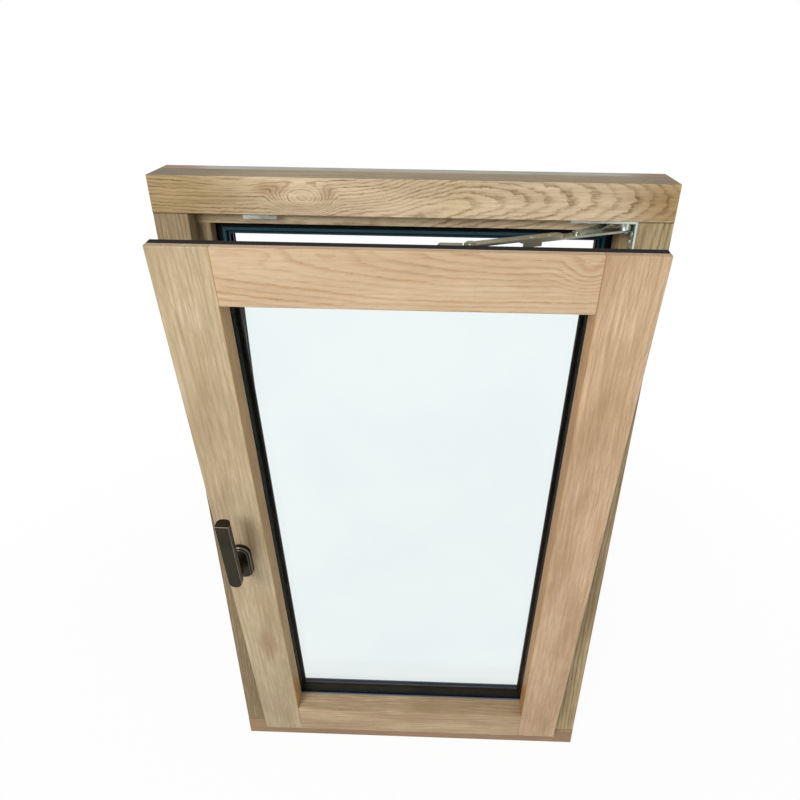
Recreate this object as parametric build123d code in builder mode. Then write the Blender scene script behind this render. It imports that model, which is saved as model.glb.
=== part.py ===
from build123d import *
from math import cos, hypot, radians, sin
import os

os.makedirs("parts", exist_ok=True)

# Tilt and turn window: oak on the room side, black aluminium on the weather side, tilted open.
# X runs to the right as seen from the room, Y points outdoors and Z is up.
# The origin is the middle of the sill's underside. Lengths are millimetres, angles degrees.
# A depth is measured outdoors from the room face of the frame.
# A sash height is the height above the sill's underside when the sash is shut.

# Outer frame
frame_width = 600.0
frame_height = 1000.0
frame_depth = 65.0
frame_wood_depth = 44.0
head_face = 42.0
sill_face = 38.0
jamb_face = 40.5
rebate_depth = 25.0
ledge_width = 16.0
wood_edge_round = 1.0

# Frame cladding, an open aluminium profile clipped to the back of the wood
cladding_wall = 2.0
cladding_lip = 16.5
cladding_rib = 2.0
cladding_rib_width = 3.0
cladding_rib_count = 2
frame_seal_height = 10.0

# Drain slots through the weather face of the sill's cladding
drain_slot_length = 28.0
drain_slot_height = 5.0
drain_slot_level = 14.0
drain_slot_spacing = 360.0

# Holes for the screws that fix the frame in its wall
fixing_hole_diameter = 7.0
fixing_depth = 12.5
fixing_spacing = 600.0

# Sash
tilt_angle = 6.88
tilt_axis_depth = -6.0
tilt_axis_height = 31.5
lip_overlap = 4.0
lip_thickness = 12.0
lip_edge_thickness = 8.0
lip_groove_height = 6.0
closing_gap = 0.6
hardware_gap = 12.0
ledge_clearance = 3.5
step_clearance = 2.5
back_clearance = 4.0
stile_face = 65.5
top_rail_face = 66.0
bottom_rail_face = 67.0
pane_wall = 31.0
lip_round = 1.5

# Glass unit
glass_cover = 12.0
glass_play = 3.0
glass_thickness = 4.0
glass_cavity = 12.0
spacer_width = 10.0
spacer_setback = 1.2
glass_seal_thickness = 3.0
glass_seal_setback = 0.8
outer_seal_thickness = 3.0
setting_block_length = 60.0
setting_block_inset = 90.0

# Sash cladding, a hollow aluminium profile
sash_cladding_gap = 4.0
sash_cladding_reveal = 4.0
sash_cladding_box = 8.0
sash_cladding_bevel = 5.0

# Seal in the edge of the sash lip, pressed flat where it meets the frame
lip_seal_thickness = 6.5
lip_seal_setback = 0.3
lip_seal_press = 0.2

# Hardware in the air gap between frame and sash
hardware_depth = 14.0
faceplate_width = 14.0
faceplate_thickness = 2.5
faceplate_end_gap = 20.0
striker_length = 39.0
striker_width = 16.0
striker_thickness = 6.0
striker_lip = 2.0
striker_inset = 82.0
jamb_striker_height = 330.0
tilt_keeper_inset = 54.5
cam_radius = 5.0
cam_neck_radius = 3.0
cam_height = 7.0
cam_head = 2.5
cam_slot_length = 40.0
cam_slot_play = 1.0

# Scissor stay in the top right corner
bearing_inset = 10.5
bearing_plate_length = 77.0
bearing_plate_drop = 33.0
bearing_plate_front = 1.0
bearing_plate_width = 22.0
bearing_plate_thickness = 2.5
bearing_boss_radius = 6.5
link_boss_radius = 4.0
bearing_drop = 8.5
bearing_pin_radius = 3.0
pin_clearance = 0.1
pin_head_radius = 5.0
pin_head_height = 1.6
arm_width = 14.0
arm_thickness = 2.5
main_arm_length = 145.0
outer_arm_start = 101.0
link_start = 11.5
link_offset = -12.0
link_end = 72.0
link_width = 12.0
link_lift = 3.5
link_ramp_start = 14.0
link_ramp_end = 26.0
rivet_radius = 4.0
rivet_head = 1.4
tab_position = 139.0
tab_length = 24.0
tab_thickness = 2.0
tab_depth = 4.0
stay_spread = 184.0
arm_height_at_slider = 11.7

# Slider, from the side: a foot in the guide, a seat for the outer arm, and a taller nose beside it
slider_width = 11.0
slider_left = 38.0
slider_right = 14.0
slider_foot_height = 5.0
slider_height = 10.4
slider_seat_half = 8.0
slider_nose_length = 6.0
slider_nose_height = 13.0
slider_edge_round = 1.0
rivet_end_gap = 1.0

# Concealed lower bearing in the bottom right corner
foot_front = 6.0
foot_width = 16.0
foot_length = 60.0
foot_rise = 55.0
foot_thickness = 3.0
ball_radius = 3.0
ball_neck_radius = 2.0
ball_height = 4.0
ball_bevel = 1.0
ball_inset = 7.5
ball_seat = 2.0
ball_depth = 13.0
pan_width = 8.0
pan_depth_size = 11.0
pan_rise = 20.0
pan_clearance = 0.3
angle_length = 60.0
angle_thickness = 2.5

# Handle
handle_height = 497.0
handle_offset = 4.25
rosette_length = 62.0
rosette_width = 27.0
rosette_thickness = 9.0
rosette_bevel = 1.5
rosette_rim = 3.0
rosette_step = 2.0
rosette_step_bevel = 0.6
rosette_boss_radius = 10.0
rosette_boss_height = 2.0
neck_gap = 0.3
journal_clearance = 0.3
neck_base_radius = 9.0
neck_top_radius = 7.0
grip_length = 118.0
grip_below_axis = 8.0
grip_width = 18.0
grip_depth = 15.0
grip_back_round = 7.0
grip_edge_round = 0.8
grip_standoff = 29.0
spindle_width = 7.0
spindle_bore_radius = 6.0
gearbox_height = 120.0
gearbox_width = 26.0
gearbox_thickness = 12.0
gearbox_clearance = 0.3

# Places worked out from the sizes above
front_y = -frame_depth / 2
opening_x = frame_width / 2 - jamb_face
opening_bottom = sill_face
opening_top = frame_height - head_face
lip_back = -closing_gap
lip_front = lip_back - lip_thickness
body_back = rebate_depth - step_clearance
sash_back = frame_wood_depth - back_clearance
lip_inset = -lip_overlap
body_inset = hardware_gap
back_inset = ledge_width + ledge_clearance
cladding_inset = ledge_width + cladding_lip
sash_cladding_inset = cladding_inset + sash_cladding_gap
pane_front = lip_front + pane_wall
glass_front = pane_front + glass_seal_thickness
glass_back = glass_front + 2 * glass_thickness + glass_cavity
sash_cladding_plate = glass_back + outer_seal_thickness
pane_x = opening_x + lip_overlap - stile_face
pane_bottom = opening_bottom - lip_overlap + bottom_rail_face
pane_top = opening_top + lip_overlap - top_rail_face
faceplate_front = hardware_depth - faceplate_width / 2
bearing_underside = opening_top - bearing_plate_thickness
bearing_x = opening_x - bearing_inset
slider_x = bearing_x - stay_spread
striker_x = -(opening_x - striker_inset)
tilt_keeper_x = -(opening_x - tilt_keeper_inset)
ball_x = opening_x - ball_inset
cam_slot_width = 2 * cam_neck_radius + cam_slot_play
handle_x = -(opening_x + lip_overlap + handle_offset - stile_face / 2)

# Directions of the tilted sash: up its face, and through it towards the outdoors
sash_up = Vector(0, -sin(radians(tilt_angle)), cos(radians(tilt_angle)))
sash_out = Vector(0, cos(radians(tilt_angle)), sin(radians(tilt_angle)))
tilt_axis = Vector(0, front_y + tilt_axis_depth, tilt_axis_height)
right = Vector(1, 0, 0)
out = Vector(0, 1, 0)
up = Vector(0, 0, 1)


def frame_point(x, depth, height):
    """Place on the frame."""
    return Vector(x, front_y + depth, height)


def sash_point(x, depth, height):
    """Place on the tilted sash, from where it would be with the sash shut."""
    turned = sash_out * (depth - tilt_axis_depth) + sash_up * (height - tilt_axis_height)
    return tilt_axis + right * x + turned


def frame_face(depth):
    """Plane across the frame, seen from the room, with heights along its own Y."""
    return Plane(origin=frame_point(0, depth, 0), x_dir=right, z_dir=-out)


def sash_face(depth):
    """Plane across the tilted sash, seen from the room, with sash heights along its own Y."""
    return Plane(origin=sash_point(0, depth, 0), x_dir=right, z_dir=-sash_out)


def sash_plan(height):
    """Plane square to the sash's height, with the depth along its own Y."""
    return Plane(origin=sash_point(0, 0, height), x_dir=right, z_dir=sash_up)


def opening_outline(inset):
    """Rectangle set in from the room-side opening of the frame."""
    width = 2 * (opening_x - inset)
    height = opening_top - opening_bottom - 2 * inset
    with BuildSketch() as outline:
        with Locations((0, (opening_bottom + opening_top) / 2)):
            Rectangle(width, height)
    return outline.sketch


def pane_outline(inset):
    """Rectangle set in from the room-side opening of the sash."""
    width = 2 * (pane_x - inset)
    height = pane_top - pane_bottom - 2 * inset
    with BuildSketch() as outline:
        with Locations((0, (pane_bottom + pane_top) / 2)):
            Rectangle(width, height)
    return outline.sketch


def rectangle_between(x_low, y_low, x_high, y_high):
    """Rectangle from two corners."""
    with BuildSketch() as outline:
        with Locations(((x_low + x_high) / 2, (y_low + y_high) / 2)):
            Rectangle(x_high - x_low, y_high - y_low)
    return outline.sketch


def mitre_outline(side, outer, inner):
    """Trapezium that cuts one member of a mitred frame, from its outer and inner corners."""
    outer_x, outer_low, outer_high = outer
    inner_x, inner_low, inner_high = inner
    left_outer = [(-outer_x, outer_low), (-outer_x, outer_high)]
    left_inner = [(-inner_x, inner_high), (-inner_x, inner_low)]
    right_outer = [(outer_x, outer_low), (outer_x, outer_high)]
    right_inner = [(inner_x, inner_high), (inner_x, inner_low)]
    corners = {
        "top": [left_outer[1], right_outer[1], right_inner[0], left_inner[0]],
        "bottom": [left_outer[0], right_outer[0], right_inner[1], left_inner[1]],
        "left": left_outer + left_inner,
        "right": right_outer + right_inner,
    }
    with BuildSketch() as outline:
        with BuildLine():
            Polyline(*corners[side], close=True)
        make_face()
    return outline.sketch


def export(part, name):
    """Label one sub-part and write it."""
    part.label = name
    export_step(part, f"parts/{name}.step")


# Where each member runs: a point on its outer edge, the way in to the opening and its length
frame_runs = {
    "top": (frame_point(-frame_width / 2, 0, frame_height), -up, frame_width, head_face),
    "bottom": (frame_point(frame_width / 2, 0, 0), up, frame_width, sill_face),
    "left": (frame_point(-frame_width / 2, 0, 0), right, frame_height, jamb_face),
    "right": (frame_point(frame_width / 2, 0, frame_height), -right, frame_height, jamb_face),
}


def frame_member_plane(side):
    """Plane square to one member: its X runs in from the outer edge, its Y is the depth."""
    start, inward = frame_runs[side][:2]
    return Plane(origin=start, x_dir=inward, z_dir=inward.cross(out))


def rebated_outline(face):
    """Rebated outline with the ledge that stands in behind the hardware gap."""
    with BuildSketch() as profile:
        with BuildLine():
            Polyline(
                (0, 0),
                (face, 0),
                (face, rebate_depth),
                (face + ledge_width, rebate_depth),
                (face + ledge_width, frame_wood_depth),
                (0, frame_wood_depth),
                close=True,
            )
        make_face()
    return profile.sketch


def frame_wood_profile(face):
    """Oak profile, with its two arrises on the room side eased."""
    with BuildSketch() as profile:
        add(rebated_outline(face))
        front_corners = profile.vertices().filter_by_position(Axis.Y, 0, 0)
        fillet(front_corners, wood_edge_round)
    return profile.sketch


# Head and sill run the full width
with BuildPart() as frame_head:
    with BuildSketch(frame_member_plane("top")):
        add(frame_wood_profile(head_face))
    extrude(amount=frame_width)
export(frame_head.part, "frame_head")

with BuildPart() as frame_sill:
    with BuildSketch(frame_member_plane("bottom")):
        add(frame_wood_profile(sill_face))
    extrude(amount=frame_width)
export(frame_sill.part, "frame_sill")

# The jambs are coped over the head and the sill, and drilled for the fixing screws
for side in ("left", "right"):
    with BuildPart() as frame_jamb:
        with BuildSketch(frame_member_plane(side)):
            add(frame_wood_profile(jamb_face))
        extrude(amount=frame_height)
        with BuildSketch(frame_member_plane("top")):
            add(rebated_outline(head_face))
        extrude(amount=frame_width, mode=Mode.SUBTRACT)
        with BuildSketch(frame_member_plane("bottom")):
            add(rebated_outline(sill_face))
        extrude(amount=frame_width, mode=Mode.SUBTRACT)
        with BuildSketch(Plane.YZ.offset(frame_runs[side][0].X)):
            with Locations((front_y + fixing_depth, frame_height / 2)):
                with GridLocations(0, fixing_spacing, 1, 2):
                    Circle(fixing_hole_diameter / 2)
        extrude(amount=jamb_face, both=True, mode=Mode.SUBTRACT)
    export(frame_jamb.part, f"frame_jamb_{side}")


def frame_cladding_profile(face):
    """Open aluminium profile: outer return, weather face, lip with two ribs and a clip leg."""
    front = frame_wood_depth
    back = frame_depth
    lip = face + cladding_inset
    clip_outer = face + ledge_width - 2 * cladding_wall
    clip_inner = clip_outer + cladding_wall
    rib_pitch = (back - front) / (cladding_rib_count + 1)
    rib_places = [(lip, front + rib_pitch * (number + 1)) for number in range(cladding_rib_count)]
    with BuildSketch() as profile:
        add(rectangle_between(0, back - cladding_wall, lip, back))
        add(rectangle_between(0, front, cladding_wall, back))
        add(rectangle_between(lip - cladding_wall, front, lip, back))
        add(rectangle_between(clip_outer, front, clip_inner, back))
        add(rectangle_between(clip_outer, front, lip, front + cladding_wall))
        with Locations(*rib_places):
            Rectangle(2 * cladding_rib, cladding_rib_width)
    return profile.sketch


frame_outer = (frame_width / 2, 0, frame_height)
frame_lip_reach = cladding_inset + cladding_rib
frame_inner = (
    opening_x - frame_lip_reach,
    opening_bottom + frame_lip_reach,
    opening_top - frame_lip_reach,
)
frame_cladding_lengths = {
    "top": {"head": (0, frame_height)},
    "bottom": {"sill": (0, frame_height)},
    "left": {"left_lower": (0, frame_height / 2), "left_upper": (frame_height / 2, frame_height)},
    "right": {"right_lower": (0, frame_height / 2), "right_upper": (frame_height / 2, frame_height)},
}
for side, (start, inward, length, face) in frame_runs.items():
    for place, (low, high) in frame_cladding_lengths[side].items():
        with BuildPart() as frame_cladding:
            with BuildSketch(frame_member_plane(side)):
                add(frame_cladding_profile(face))
            extrude(amount=length)
            with BuildSketch(frame_face(frame_wood_depth)):
                add(mitre_outline(side, frame_outer, frame_inner))
                add(rectangle_between(-frame_width / 2, low, frame_width / 2, high), mode=Mode.INTERSECT)
            extrude(amount=-(frame_depth - frame_wood_depth), mode=Mode.INTERSECT)
            if side == "bottom":
                with BuildSketch(frame_face(frame_depth)):
                    with Locations((0, drain_slot_level)):
                        with GridLocations(drain_slot_spacing, 0, 2, 1):
                            SlotOverall(drain_slot_length, drain_slot_height)
                extrude(amount=cladding_wall, mode=Mode.SUBTRACT)
        export(frame_cladding.part, f"frame_cladding_{place}")

# Rubber seal on the lip, which the back of the shut sash meets
with BuildPart() as frame_seal:
    with BuildSketch(frame_face(frame_wood_depth)):
        add(opening_outline(ledge_width + ledge_clearance))
        add(opening_outline(ledge_width + ledge_clearance + frame_seal_height), mode=Mode.SUBTRACT)
    extrude(amount=back_clearance - closing_gap)
export(frame_seal.part, "frame_seal")

# The four sash members are cut from one profiled ring, so that lip, body and back line up.
# Grooves take the seal in the lip's edge, and the faceplates along the left stile and the top rail.
groove_left = -(opening_x - body_inset)
groove_top = opening_top - body_inset
with BuildPart() as sash_ring:
    for inset, start, end in (
        (lip_inset, lip_front, lip_back),
        (body_inset, lip_back, body_back),
        (back_inset, body_back, sash_back),
    ):
        with BuildSketch(sash_face(start)):
            add(opening_outline(inset))
        extrude(amount=start - end)
    with BuildSketch(sash_face(lip_front)):
        add(pane_outline(0))
    extrude(amount=-pane_wall, mode=Mode.SUBTRACT)
    with BuildSketch(sash_face(pane_front)):
        add(pane_outline(-glass_cover - glass_play))
    extrude(amount=pane_front - sash_back, mode=Mode.SUBTRACT)
    front_edges = sash_ring.faces().sort_by(Axis(sash_point(0, 0, 0), sash_out))[0].edges()
    fillet(front_edges, lip_round)
    with BuildSketch(sash_face(lip_front + lip_edge_thickness)):
        add(opening_outline(lip_inset))
        add(opening_outline(lip_inset + lip_groove_height), mode=Mode.SUBTRACT)
    extrude(amount=lip_edge_thickness - lip_thickness, mode=Mode.SUBTRACT)
    with BuildSketch(sash_plan(0)):
        with Locations((groove_left + faceplate_thickness / 2, hardware_depth)):
            Rectangle(faceplate_thickness, faceplate_width)
    extrude(amount=frame_height, mode=Mode.SUBTRACT)
    with BuildSketch(sash_plan(groove_top)):
        with Locations((0, hardware_depth)):
            Rectangle(frame_width, faceplate_width)
    extrude(amount=-faceplate_thickness, mode=Mode.SUBTRACT)

stile_regions = {
    "left": (-frame_width / 2, -pane_x),
    "right": (pane_x, frame_width / 2),
}
for side, (x_low, x_high) in stile_regions.items():
    with BuildPart() as sash_stile:
        add(sash_ring.part)
        with BuildSketch(sash_face(lip_front)):
            add(rectangle_between(x_low, 0, x_high, frame_height))
        extrude(amount=-frame_depth, mode=Mode.INTERSECT)
        if side == "left":
            with BuildSketch(sash_face(lip_front)):
                with Locations((handle_x, handle_height)):
                    Circle(spindle_bore_radius)
            extrude(amount=lip_front - hardware_depth, mode=Mode.SUBTRACT)
            with BuildSketch(sash_plan(handle_height)):
                with Locations((groove_left + faceplate_thickness + gearbox_width / 2, hardware_depth)):
                    Rectangle(
                        gearbox_width + 2 * gearbox_clearance,
                        gearbox_thickness + 2 * gearbox_clearance,
                    )
            extrude(amount=gearbox_height / 2 + gearbox_clearance, both=True, mode=Mode.SUBTRACT)
    export(sash_stile.part, f"sash_stile_{side}")

rail_regions = {
    "top": (pane_top - glass_cover, frame_height),
    "bottom": (0, pane_bottom + glass_cover),
}
for side, (low, high) in rail_regions.items():
    with BuildPart() as sash_rail:
        add(sash_ring.part)
        with BuildSketch(sash_face(lip_front)):
            add(rectangle_between(-pane_x, low, pane_x, high))
        extrude(amount=-frame_depth, mode=Mode.INTERSECT)
    export(sash_rail.part, f"sash_{side}_rail")

# Seal in the lip's edge. It stands out behind the lip, and lies flat where it meets the frame.
with BuildPart() as lip_seal:
    with BuildSketch(sash_face(lip_front + lip_edge_thickness)):
        add(opening_outline(lip_inset + lip_seal_setback))
        add(opening_outline(lip_inset + lip_groove_height), mode=Mode.SUBTRACT)
    extrude(amount=lip_edge_thickness - lip_thickness)
    with BuildSketch(sash_face(lip_back)):
        add(opening_outline(lip_inset + lip_seal_setback))
        add(opening_outline(body_inset), mode=Mode.SUBTRACT)
    extrude(amount=-lip_seal_thickness)
    with BuildSketch(frame_face(-lip_seal_press)):
        add(opening_outline(-jamb_face))
        add(opening_outline(lip_seal_press), mode=Mode.SUBTRACT)
    extrude(amount=-frame_depth, mode=Mode.SUBTRACT)
export(lip_seal.part, "sash_lip_seal")

# Sash cladding: clip leg, and a hollow box that laps over the glass
sash_cladding_outer = (
    opening_x - sash_cladding_inset,
    opening_bottom + sash_cladding_inset,
    opening_top - sash_cladding_inset,
)
sash_cladding_inner = (
    pane_x - sash_cladding_reveal,
    pane_bottom + sash_cladding_reveal,
    pane_top - sash_cladding_reveal,
)

def sash_cladding_plane(side):
    """Plane square to one cladding member: X runs in from its outer wall, Y is the depth."""
    outer_x, outer_low, outer_high = sash_cladding_outer
    starts = {
        "top": (sash_point(-outer_x, 0, outer_high), -sash_up),
        "bottom": (sash_point(outer_x, 0, outer_low), sash_up),
        "left": (sash_point(-outer_x, 0, outer_low), right),
        "right": (sash_point(outer_x, 0, outer_high), -right),
    }
    start, inward = starts[side]
    return Plane(origin=start, x_dir=inward, z_dir=inward.cross(sash_out))


def sash_cladding_profile(reach):
    """Hollow profile as deep as its box, with a leg that clips to the wood."""
    box_back = sash_cladding_plate + sash_cladding_box
    with BuildSketch() as profile:
        with BuildLine():
            Polyline(
                (0, sash_cladding_plate),
                (reach, sash_cladding_plate),
                (reach, box_back - sash_cladding_bevel),
                (reach - sash_cladding_bevel, box_back),
                (0, box_back),
                close=True,
            )
        make_face()
        offset(amount=-cladding_wall, kind=Kind.INTERSECTION, mode=Mode.SUBTRACT)
        add(rectangle_between(0, sash_back, cladding_wall, box_back))
    return profile.sketch


sash_cladding_reach = {
    "top": sash_cladding_outer[2] - sash_cladding_inner[2],
    "bottom": sash_cladding_inner[1] - sash_cladding_outer[1],
    "left": sash_cladding_outer[0] - sash_cladding_inner[0],
    "right": sash_cladding_outer[0] - sash_cladding_inner[0],
}
sash_cladding_length = {
    "top": 2 * sash_cladding_outer[0],
    "bottom": 2 * sash_cladding_outer[0],
    "left": sash_cladding_outer[2] - sash_cladding_outer[1],
    "right": sash_cladding_outer[2] - sash_cladding_outer[1],
}
for side in ("top", "bottom", "left", "right"):
    with BuildPart() as sash_cladding:
        with BuildSketch(sash_cladding_plane(side)):
            add(sash_cladding_profile(sash_cladding_reach[side]))
        extrude(amount=sash_cladding_length[side])
        with BuildSketch(sash_face(sash_back)):
            add(mitre_outline(side, sash_cladding_outer, sash_cladding_inner))
        extrude(amount=-frame_depth, mode=Mode.INTERSECT)
    export(sash_cladding.part, f"sash_cladding_{side}")

# Glass unit: two panes, the spacer between them, the seals on both sides and two setting blocks
glass_layers = {
    "glass_inner": (glass_front, glass_thickness),
    "glass_outer": (glass_front + glass_thickness + glass_cavity, glass_thickness),
}
for name, (start, thickness) in glass_layers.items():
    with BuildPart() as pane:
        with BuildSketch(sash_face(start)):
            add(pane_outline(-glass_cover))
        extrude(amount=-thickness)
    export(pane.part, name)

with BuildPart() as spacer:
    with BuildSketch(sash_face(glass_front + glass_thickness)):
        add(pane_outline(spacer_setback - glass_cover))
        add(pane_outline(spacer_setback + spacer_width - glass_cover), mode=Mode.SUBTRACT)
    extrude(amount=-glass_cavity)
export(spacer.part, "glass_spacer")

with BuildPart() as glazing_seal_inner:
    with BuildSketch(sash_face(pane_front)):
        add(pane_outline(-glass_cover))
        add(pane_outline(-glass_seal_setback), mode=Mode.SUBTRACT)
    extrude(amount=-glass_seal_thickness)
export(glazing_seal_inner.part, "glazing_seal_inner")

with BuildPart() as glazing_seal_outer:
    with BuildSketch(sash_face(glass_back)):
        add(pane_outline(-glass_cover))
        add(pane_outline(sash_cladding_reveal - glass_seal_setback), mode=Mode.SUBTRACT)
    extrude(amount=-outer_seal_thickness)
export(glazing_seal_outer.part, "glazing_seal_outer")

with BuildPart() as setting_blocks:
    block_span = 2 * (pane_x - setting_block_inset)
    block_height = pane_bottom - glass_cover - glass_play / 2
    with BuildSketch(sash_face(glass_front)):
        with Locations((0, block_height)):
            with GridLocations(block_span, 0, 2, 1):
                Rectangle(setting_block_length, glass_play)
    extrude(amount=glass_front - sash_back)
export(setting_blocks.part, "glass_setting_blocks")

# Faceplates: the locking one in the left stile with its slots, and the stay guide in the top rail
with BuildPart() as locking_faceplate:
    plate_low = opening_bottom + body_inset + faceplate_end_gap
    plate_high = opening_top - body_inset - faceplate_thickness - faceplate_end_gap
    plate_plane = Plane(origin=sash_point(groove_left, hardware_depth, 0), x_dir=sash_out, z_dir=right)
    with BuildSketch(plate_plane):
        add(rectangle_between(-faceplate_width / 2, plate_low, faceplate_width / 2, plate_high))
        for cam_z in (handle_height - jamb_striker_height, handle_height + jamb_striker_height):
            with Locations((0, cam_z)):
                SlotOverall(cam_slot_length, cam_slot_width, rotation=90, mode=Mode.SUBTRACT)
    extrude(amount=faceplate_thickness)
export(locking_faceplate.part, "locking_faceplate")

with BuildPart() as stay_guide:
    guide_end = opening_x - body_inset - faceplate_end_gap
    guide_plane = Plane(origin=sash_point(0, 0, groove_top), x_dir=right, z_dir=sash_up)
    with BuildSketch(guide_plane):
        add(rectangle_between(-guide_end, faceplate_front, guide_end, faceplate_front + faceplate_width))
        with Locations((striker_x, hardware_depth)):
            SlotOverall(cam_slot_length, cam_slot_width, mode=Mode.SUBTRACT)
    extrude(amount=-faceplate_thickness)
export(stay_guide.part, "stay_guide")


def cam_outline():
    """Half section of a mushroom cam about its own axis, standing on its groove's floor."""
    total = faceplate_thickness + cam_height
    with BuildSketch(Plane.XZ) as outline:
        with BuildLine():
            Polyline(
                (0, 0),
                (cam_neck_radius, 0),
                (cam_neck_radius, total - cam_head),
                (cam_radius, total - cam_head),
                (cam_radius, total),
                (0, total),
                close=True,
            )
        make_face()
    return outline.sketch


with BuildPart() as cam:
    add(cam_outline())
    revolve(axis=Axis.Z)

cam_planes = [
    Plane(
        origin=sash_point(groove_left + faceplate_thickness, hardware_depth, handle_height + offset),
        x_dir=sash_out,
        z_dir=-right,
    )
    for offset in (-jamb_striker_height, jamb_striker_height)
]
cam_planes.append(
    Plane(
        origin=sash_point(striker_x, hardware_depth, groove_top - faceplate_thickness),
        x_dir=right,
        z_dir=sash_up,
    )
)
with BuildPart() as locking_cams:
    with Locations(*cam_planes):
        add(cam.part)
export(locking_cams.part, "locking_cams")


# Strikers on the frame: a block with a raised lip that the cam runs behind
def striker_profile():
    """Striker section: X across the rebate, Y out of it."""
    with BuildSketch() as profile:
        with BuildLine():
            Polyline(
                (-striker_width / 2, 0),
                (striker_width / 2, 0),
                (striker_width / 2, striker_thickness / 2),
                (striker_lip, striker_thickness / 2),
                (striker_lip, striker_thickness / 2 + striker_lip / 2),
                (0, striker_thickness),
                (-striker_width / 2, striker_thickness),
                close=True,
            )
        make_face()
    return profile.sketch


with BuildPart() as top_striker:
    striker_start = frame_point(striker_x - striker_length / 2, hardware_depth, opening_top)
    with BuildSketch(Plane(origin=striker_start, x_dir=out, z_dir=out.cross(-up))):
        add(striker_profile())
    extrude(amount=-striker_length)
export(top_striker.part, "top_striker")

with BuildPart() as jamb_strikers:
    for offset in (-jamb_striker_height, jamb_striker_height):
        low_end = handle_height + offset - striker_length / 2
        start = frame_point(-opening_x, hardware_depth, low_end)
        with BuildSketch(Plane(origin=start, x_dir=out, z_dir=out.cross(right))):
            add(striker_profile())
        extrude(amount=-striker_length)
export(jamb_strikers.part, "jamb_strikers")

with BuildPart() as tilt_keeper:
    start = frame_point(tilt_keeper_x - striker_length / 2, hardware_depth, opening_bottom)
    with BuildSketch(Plane(origin=start, x_dir=out, z_dir=out.cross(up))):
        add(striker_profile())
    extrude(amount=striker_length)
export(tilt_keeper.part, "tilt_keeper")

# Scissor stay. The arms lie in a plane through the bearing on the frame and the slider on the sash.
bearing_place = frame_point(bearing_x, hardware_depth, bearing_underside - bearing_drop)
slider_foot = sash_point(slider_x, hardware_depth, groove_top)
slider_place = Vector(slider_foot.X, slider_foot.Y, slider_foot.Z + arm_height_at_slider)
arm_reach = (slider_place - bearing_place).length
arm_along = (slider_place - bearing_place).normalized()
arm_across = up.cross(arm_along).normalized()
arm_up = arm_along.cross(arm_across)
arm_top = Plane(origin=bearing_place, x_dir=arm_along, z_dir=arm_up)

# Angle plate in the corner with the boss that the arm hangs from, and the link's own boss
with BuildPart() as corner_bearing:
    with BuildSketch(frame_face(bearing_plate_front)):
        with BuildLine():
            Polyline(
                (opening_x, opening_top),
                (opening_x - bearing_plate_length, opening_top),
                (opening_x - bearing_plate_length, bearing_underside),
                (opening_x - bearing_plate_thickness, bearing_underside),
                (opening_x - bearing_plate_thickness, opening_top - bearing_plate_drop),
                (opening_x, opening_top - bearing_plate_drop),
                close=True,
            )
        make_face()
    extrude(amount=-bearing_plate_width)
    boss_top = bearing_drop + bearing_plate_thickness / 2
    with BuildSketch(arm_top):
        Circle(bearing_boss_radius)
    extrude(amount=boss_top)
    with BuildSketch(arm_top.offset(link_lift + arm_thickness)):
        with Locations((link_start, link_offset)):
            Circle(link_boss_radius)
    extrude(amount=boss_top - link_lift - arm_thickness)
    with BuildSketch(arm_top):
        Circle(bearing_pin_radius + pin_clearance)
    extrude(amount=bearing_drop, mode=Mode.SUBTRACT)
export(corner_bearing.part, "corner_bearing")


def arm_outline(start, end, width):
    """Straight arm with round ends about two places on its own X."""
    with BuildSketch() as outline:
        with Locations(((start + end) / 2, 0)):
            SlotCenterToCenter(end - start, width)
    return outline.sketch


with BuildPart() as stay_arm:
    with BuildSketch(arm_top):
        add(arm_outline(0, main_arm_length, arm_width))
        Circle(bearing_pin_radius + pin_clearance, mode=Mode.SUBTRACT)
    extrude(amount=-arm_thickness)
    with BuildSketch(arm_top):
        with Locations((tab_position, (arm_width - tab_thickness) / 2)):
            Rectangle(tab_length, tab_thickness)
    extrude(amount=-arm_thickness - tab_depth)
export(stay_arm.part, "stay_arm")

with BuildPart() as bearing_pin:
    with BuildSketch(arm_top.offset(-arm_thickness)):
        Circle(bearing_pin_radius)
    extrude(amount=arm_thickness + bearing_drop - pin_clearance)
    with BuildSketch(arm_top.offset(-arm_thickness)):
        Circle(pin_head_radius)
    extrude(amount=-pin_head_height)
export(bearing_pin.part, "bearing_pin")

# The link is a strip that lies on the main arm and steps up to its own boss
link_origin = bearing_place + arm_along * link_start + arm_across * link_offset
link_far = bearing_place + arm_along * link_end
link_along = (link_far - link_origin).normalized()
link_length = (link_far - link_origin).length
link_side = Plane(origin=link_origin, x_dir=link_along, z_dir=link_along.cross(arm_up))
link_top = Plane(origin=link_origin, x_dir=link_along, z_dir=arm_up)
with BuildPart() as stay_link:
    with BuildSketch(link_side):
        with BuildLine():
            Polyline(
                (-link_width, link_lift),
                (link_ramp_start, link_lift),
                (link_ramp_end, 0),
                (link_length + link_width, 0),
                (link_length + link_width, arm_thickness),
                (link_ramp_end, arm_thickness),
                (link_ramp_start, link_lift + arm_thickness),
                (-link_width, link_lift + arm_thickness),
                close=True,
            )
        make_face()
    extrude(amount=link_width, both=True)
    with BuildSketch(link_top):
        add(arm_outline(0, link_length, link_width))
    extrude(amount=link_lift + arm_thickness, mode=Mode.INTERSECT)
    with BuildSketch(arm_top.offset(arm_thickness)):
        with Locations((link_end, 0)):
            Circle(rivet_radius)
    extrude(amount=rivet_head)
export(stay_link.part, "stay_link")

with BuildPart() as stay_extension:
    with BuildSketch(arm_top):
        add(arm_outline(outer_arm_start, arm_reach, arm_width))
        with Locations((arm_reach, 0)):
            Circle(bearing_pin_radius + pin_clearance, mode=Mode.SUBTRACT)
    extrude(amount=arm_thickness)
export(stay_extension.part, "stay_extension")

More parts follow.
